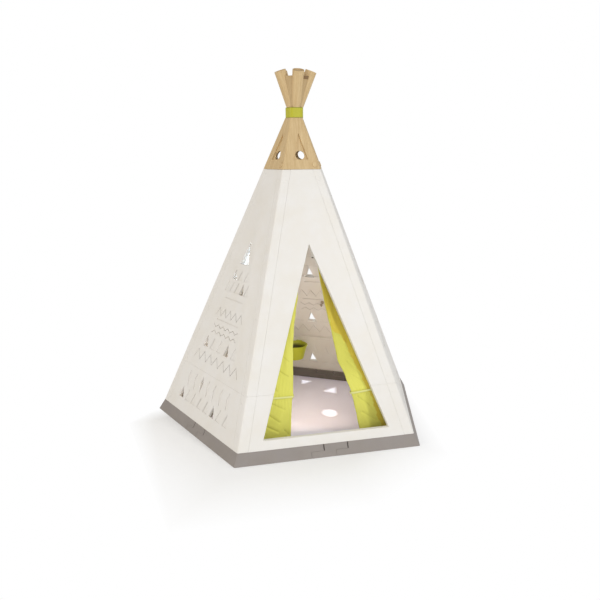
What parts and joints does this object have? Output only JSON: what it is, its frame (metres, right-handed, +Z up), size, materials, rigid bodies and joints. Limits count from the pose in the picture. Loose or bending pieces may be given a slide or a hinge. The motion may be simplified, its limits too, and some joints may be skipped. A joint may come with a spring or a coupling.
{
  "type": "play tent",
  "caption": "Five-sided moulded play tepee with a triangular doorway, tied-back curtains, pierced pattern walls, a low ring base and a wood-look cap with crossed poles.",
  "frame": {"origin": "on the ground, in the middle of the tent's bounding box", "axes": "+Z up, the door faces -Y, +X to the right when looking at the door"},
  "size_m": [1.514, 1.4414, 1.8556],
  "materials": {
    "wall": "ivory moulded plastic, satin",
    "base": "warm grey moulded plastic",
    "wood_look": "light tan moulded plastic with a faint grain",
    "lime": "lime green plastic, satin",
    "curtain": "woven lime polyester",
    "tie": "pale lime webbing",
    "hook": "smoke grey plastic"
  },
  "bodies": {
    "tent": {"base_clip_back_left": "base", "base_clip_back_right": "base", "base_clip_front": "base", "base_clip_left": "base", "base_clip_right": "base", "base_corner_back": "base", "base_corner_front_left": "base", "base_corner_front_right": "base", "base_corner_left": "base", "base_corner_right": "base", "cap": "wood_look", "cap_button_back_left": "wood_look", "cap_button_back_right": "wood_look", "cap_button_front": "wood_look", "cap_button_left": "wood_look", "cap_button_right": "wood_look", "crown": "wood_look", "curtain_hook_left": "hook", "curtain_hook_right": "hook", "curtain_left": "curtain", "curtain_right": "curtain", "curtain_tie_left": "tie", "curtain_tie_right": "tie", "lower_panel_back_left": "wall", "lower_panel_back_right": "wall", "lower_panel_front": "wall", "lower_panel_left": "wall", "lower_panel_right": "wall", "lower_strip_back": "wall", "lower_strip_front_left": "wall", "lower_strip_front_right": "wall", "lower_strip_left": "wall", "lower_strip_right": "wall", "neck_band": "lime", "pot_bracket": "wall", "tie_hook_left": "hook", "tie_hook_right": "hook", "upper_panel_back_left": "wall", "upper_panel_back_right": "wall", "upper_panel_front": "wall", "upper_panel_left": "wall", "upper_panel_right": "wall", "upper_strip_back": "wall", "upper_strip_front_left": "wall", "upper_strip_front_right": "wall", "upper_strip_left": "wall", "upper_strip_right": "wall", "wall_hook": "hook"},
    "pot": {"pot": "lime"}
  },
  "joints": [
    {"name": "pot_lift", "type": "slide", "parent": "tent", "child": "pot", "axis": [-0.2035, -0.28, 0.9382], "range_m": [0, 0.03]}
  ]
}
